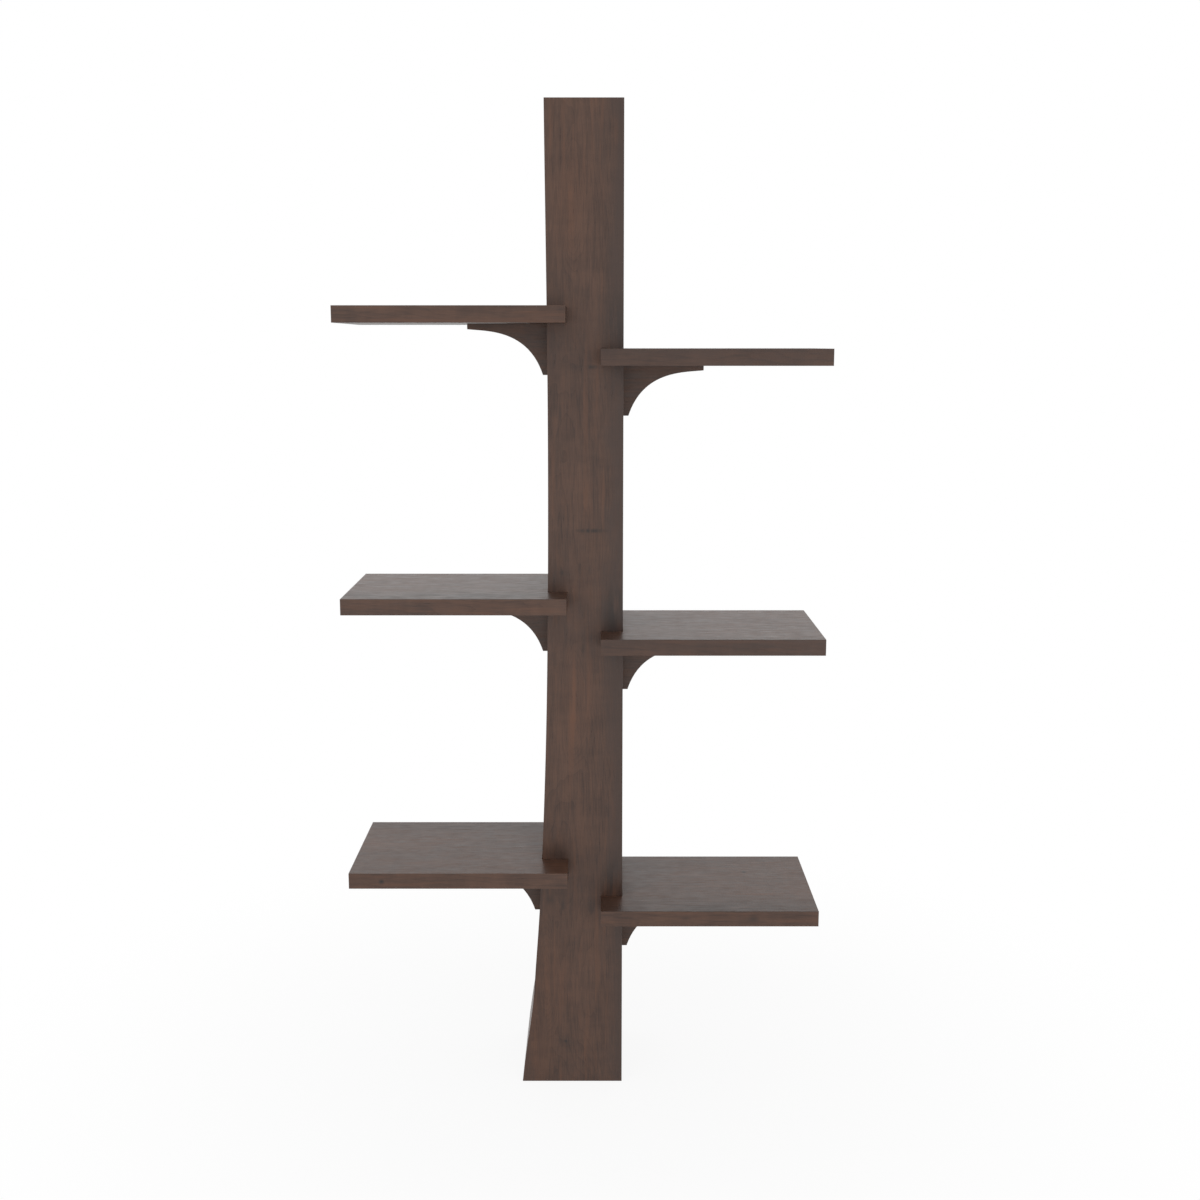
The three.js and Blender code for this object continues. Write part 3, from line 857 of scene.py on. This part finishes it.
# Brackets: 25 mm boards sawn to a hollow curve with blunt ends, one under each shelf, screwed
# up into the shelf through the arm and into the trunk through the leg.
arm_tip = 0.0084
leg_tip = 0.0084
leg_pull_shares = (0.25, 0.105)
arm_pull_shares = (0.75, 0.15)
curve_runs = 32
outline_weld_gap = 0.00001
straight_angle = math.radians(0.2)
bracket_heart_depth = 0.04
bracket_heart_inset = 0.05
bracket_log_step = 6
bracket_screw_head = (0.004, 0.0024)
bracket_screw_shank = 0.002


def screw_place(part, side, level):
    """Where a bracket screw's head is and how it is turned: up in the arm, inwards in the leg."""
    low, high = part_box(f"bracket_{part}_screw_{side}_{level}")
    head = (low + high) / 2
    if part == "arm":
        head.z = low.z
        return head, (math.pi, 0, 0)
    head.x = low.x if side == "left" else high.x
    return head, (0, outwards[side] * math.pi / 2, 0)


low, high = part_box("bracket_arm_screw_right_low")
screw_lengths = {"arm": high.z - low.z}
low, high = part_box("bracket_leg_screw_right_low")
screw_lengths["leg"] = high.x - low.x
screw_holes = {
    part: countersunk_hole(f"{part}_hole", *bracket_screw_head, bracket_screw_shank, length)
    for part, length in screw_lengths.items()
}
for number, (side, level) in enumerate(
    (side, level) for side in ("left", "right") for level in ("low", "middle", "high")
):
    node = f"bracket_{side}_{level}"
    low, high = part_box(node)
    outward = outwards[side]
    underside, foot = high.z, low.z
    drop = underside - foot
    face = trunk_side(side, foot)
    reach = abs((low.x if side == "left" else high.x) - face)
    leg_end = Vector((face + outward * leg_tip, foot, 0))
    arm_end = Vector((face + outward * reach, underside - arm_tip, 0))
    leg_pull = Vector(
        (face + outward * leg_pull_shares[0] * reach, underside - leg_pull_shares[1] * drop, 0)
    )
    arm_pull = Vector(
        (face + outward * arm_pull_shares[0] * reach, underside - arm_pull_shares[1] * drop, 0)
    )
    third = drop / 3
    seat = [underside, underside - third, underside - 2 * third, foot]
    corners = [Vector((beside_trunk(side, height), height, 0)) for height in seat]
    corners += [leg_end, arm_end, Vector((arm_end.x, underside, 0))]

    bpy.ops.object.select_all(action="DESELECT")
    bpy.ops.curve.primitive_bezier_curve_add(rotation=(math.pi / 2, 0, 0))
    bracket = bpy.context.object
    bracket.name = bracket.data.name = f"{node}_lacquered"
    bracket.data.dimensions = "2D"
    bracket.data.fill_mode = "BOTH"
    bracket.data.resolution_u = curve_runs
    bracket.data.extrude = (high.y - low.y) / 2
    outline = bracket.data.splines[0]
    outline.bezier_points.add(len(corners) - 2)
    outline.use_cyclic_u = True
    for point, corner in zip(outline.bezier_points, corners):
        point.co = corner
        point.handle_left_type = point.handle_right_type = "VECTOR"
    leg_point, arm_point = outline.bezier_points[len(seat):len(seat) + 2]
    leg_point.handle_right_type = arm_point.handle_left_type = "FREE"
    leg_point.handle_right = leg_pull
    arm_point.handle_left = arm_pull
    bracket.location.y = (low.y + high.y) / 2
    bpy.ops.object.convert(target="MESH")
    bpy.ops.object.transform_apply()
    bpy.ops.object.mode_set(mode="EDIT")
    bpy.ops.mesh.select_all(action="SELECT")
    bpy.ops.mesh.remove_doubles(threshold=outline_weld_gap)
    bpy.ops.mesh.normals_make_consistent(inside=False)
    bpy.ops.mesh.dissolve_limited(angle_limit=straight_angle)
    bpy.ops.object.mode_set(mode="OBJECT")
    ease_edges(bracket, eased_edge)
    for part, hole in screw_holes.items():
        head, turn = screw_place(part, side, level)
        cut(bracket, set_copy(hole, "screw_hole_copy", head, turn))

    heart = (bracket_log_step * number + 1, bracket_heart_inset, foot - bracket_heart_depth)
    bracket_wood = walnut_board(node, "X", heart, wide_log_radius)
    fit(bracket, bracket_wood, node)

for hole in screw_holes.values():
    bpy.data.objects.remove(hole)

# Bracket screws: countersunk wood screws, one up through each bracket's arm into the shelf and
# one through its leg into the trunk's side.
for part, length in screw_lengths.items():
    master = wood_screw(
        f"{part}_screw", *bracket_screw_head, bracket_screw_shank, length, screw_cross
    )
    for side in ("left", "right"):
        for level in ("low", "middle", "high"):
            node = f"bracket_{part}_screw_{side}_{level}"
            head, turn = screw_place(part, side, level)
            screw = set_copy(master, f"{node}_threaded", head, turn)
            fit(screw, zinc_steel, node)
    bpy.data.objects.remove(master)

# Studio: a pale floor that stays white for the camera but keeps the shelf's shadow, an even
# white room, and three soft lamps, the brightest one high on the left.
floor_size = 30
floor_colour = (0.88, 0.88, 0.88, 1)
shadow_share = 0.1
shadow_fades = (0.3, 1.2)
white_light = (1, 1, 1, 1)
bpy.ops.object.select_all(action="DESELECT")
bpy.ops.mesh.primitive_plane_add(size=floor_size)
floor = bpy.context.object
floor.name = "studio_floor"
floor_finish = bpy.data.materials.new("studio_floor_white")
floor_finish.use_nodes = True
nodes = floor_finish.node_tree.nodes
nodes.clear()
start = Wire(floor_finish.node_tree)
place = start.node("ShaderNodeTexCoord", output="Object")
distance = start.node("ShaderNodeVectorMath", {"operation": "LENGTH"}, {0: place}, "Value")
seen = start.node("ShaderNodeLightPath", output="Is Camera Ray")
mirrored = start.node("ShaderNodeLightPath", output="Is Glossy Ray")
matt = start.node("ShaderNodeBsdfDiffuse", inputs={"Color": floor_colour})
white = start.node("ShaderNodeEmission", inputs={"Color": white_light, "Strength": 1})
faded = rise(distance, *shadow_fades)
share = (seen + mirrored) * (1 - shadow_share + shadow_share * faded)
top = start.node("ShaderNodeMixShader", inputs={0: share, 1: matt, 2: white})
below = start.node("ShaderNodeNewGeometry", output="Backfacing")
clear = start.node("ShaderNodeBsdfTransparent")
surface = start.node("ShaderNodeMixShader", inputs={0: below, 1: top, 2: clear})
start.node("ShaderNodeOutputMaterial", inputs={"Surface": surface})
floor.data.materials.append(floor_finish)

room_light = 0.8
world = bpy.data.worlds.new("studio_room")
bpy.context.scene.world = world
world.use_nodes = True
world.node_tree.nodes.clear()
start = Wire(world.node_tree)
seen = start.node("ShaderNodeLightPath", output="Is Camera Ray")
mirrored = start.node("ShaderNodeLightPath", output="Is Glossy Ray")
strength = room_light + (1 - room_light) * (seen + mirrored)
sky = start.node("ShaderNodeBackground", inputs={"Color": white_light, "Strength": strength})
start.node("ShaderNodeOutputWorld", inputs={"Surface": sky})

lamps = {
    "key_lamp": {"place": (-1.6, -2.2, 2.6), "power": 8, "size": 1.6},
    "right_fill_lamp": {"place": (1.2, -2.4, 0.4), "power": 5.7, "size": 1.8},
    "left_fill_lamp": {"place": (-1.2, -2.4, 0.4), "power": 3.8, "size": 1.8},
}
aim = Vector((0, 0, 0.85))
for name, lamp in lamps.items():
    bpy.ops.object.light_add(type="AREA", location=lamp["place"])
    light = bpy.context.object
    light.name = name
    light.data.energy = lamp["power"]
    light.data.size = lamp["size"]
    direction = aim - Vector(lamp["place"])
    light.rotation_euler = direction.to_track_quat("-Z", "Y").to_euler()

bpy.context.scene.view_settings.view_transform = "Standard"
